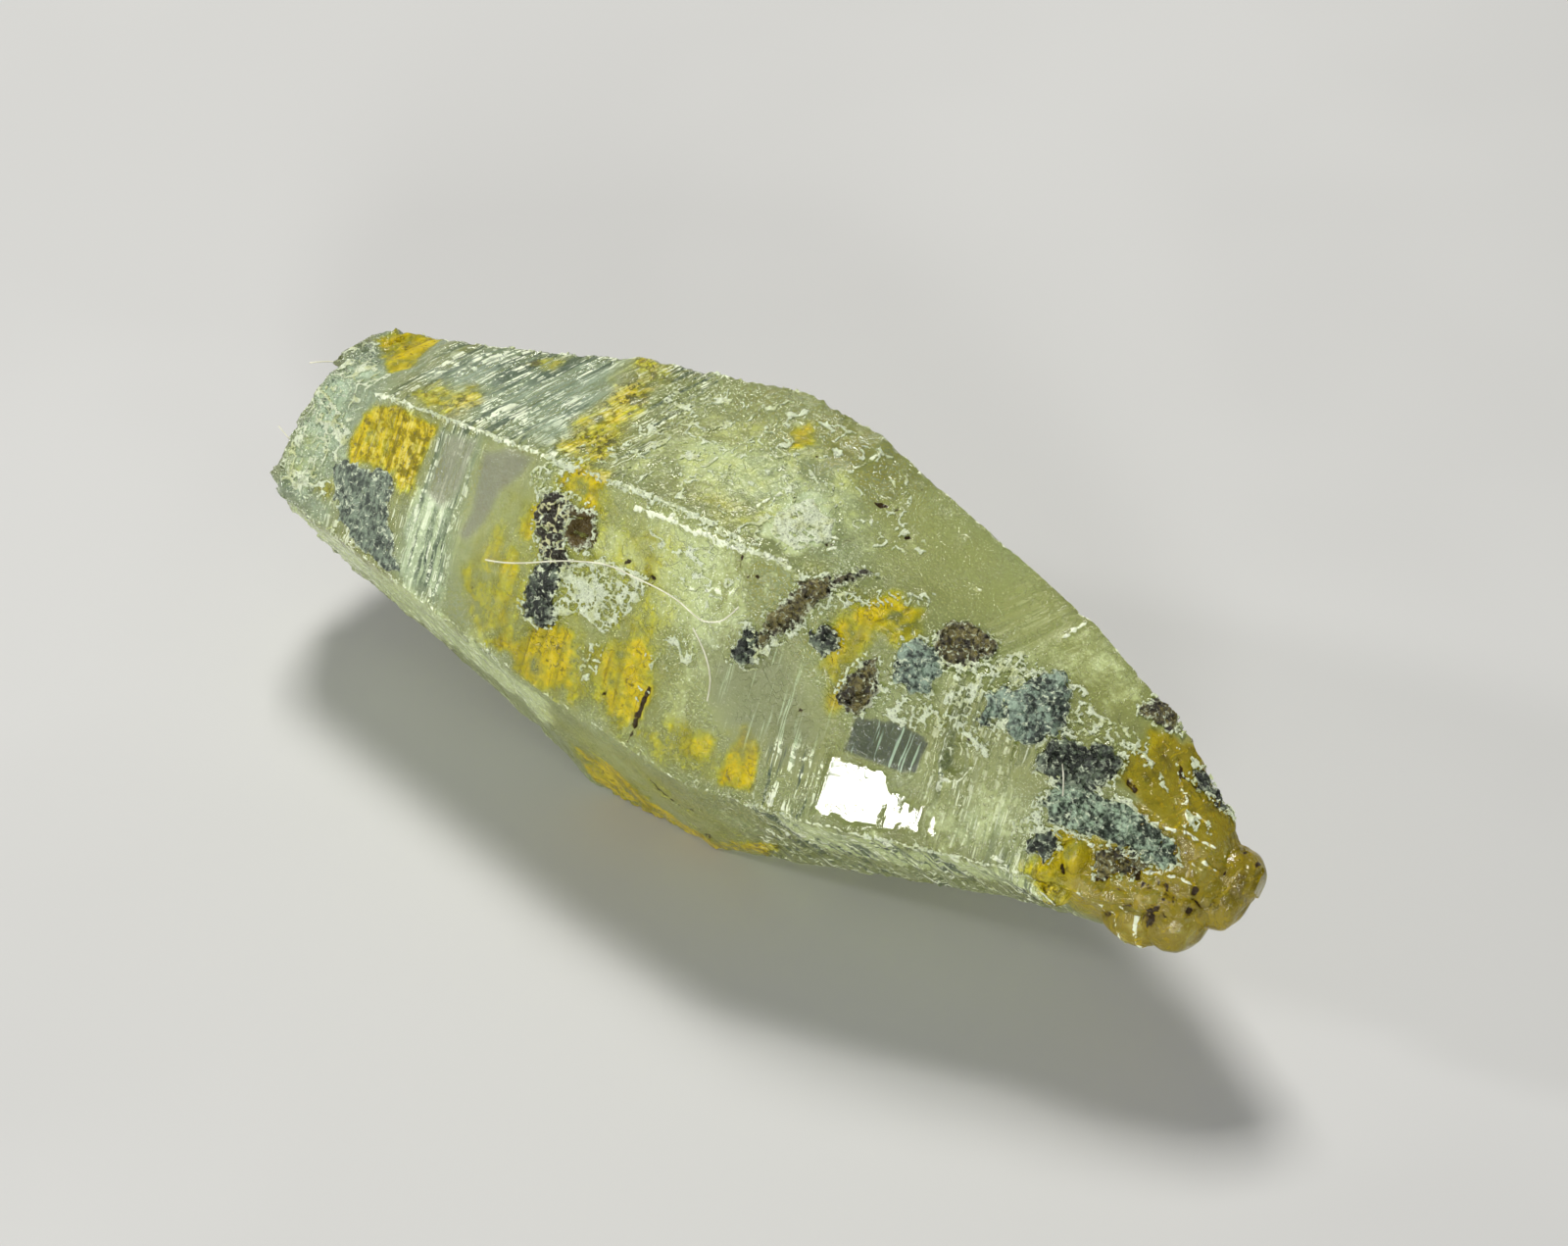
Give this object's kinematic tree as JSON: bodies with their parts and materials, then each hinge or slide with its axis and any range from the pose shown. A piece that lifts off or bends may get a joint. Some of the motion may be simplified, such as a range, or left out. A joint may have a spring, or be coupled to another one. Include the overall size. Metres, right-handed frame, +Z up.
{
  "type": "sapphire crystal",
  "caption": "Natural rough yellow-green sapphire crystal, long and doubly tapered, with growth ledges, etch pits, an amber tip and patches of dark host rock.",
  "frame": {"origin": "on the flat resting face, under the widest part of the crystal", "axes": "+X along the crystal's long axis from the broken end to the rounded tip, +Z up from the resting face, -Y towards the side with most of the crust"},
  "size_m": [0.0291, 0.0116, 0.0109],
  "materials": {
    "sapphire": "translucent yellow-green corundum with natural growth faces, amber stain and fine striations",
    "host_rock": "rough dark grey mineral crust with a faint sparkle"
  },
  "bodies": {
    "root": {"sapphire_crystal": "sapphire", "crust_broken_end": "host_rock", "crust_middle": "host_rock", "crust_streak": "host_rock", "crust_round_lump": "host_rock", "crust_face_lump": "host_rock", "crust_trail_upper": "host_rock", "crust_tip_trail": "host_rock", "crust_small_knot": "host_rock", "crust_edge_upper": "host_rock", "crust_edge_tip": "host_rock"}
  },
  "joints": []
}
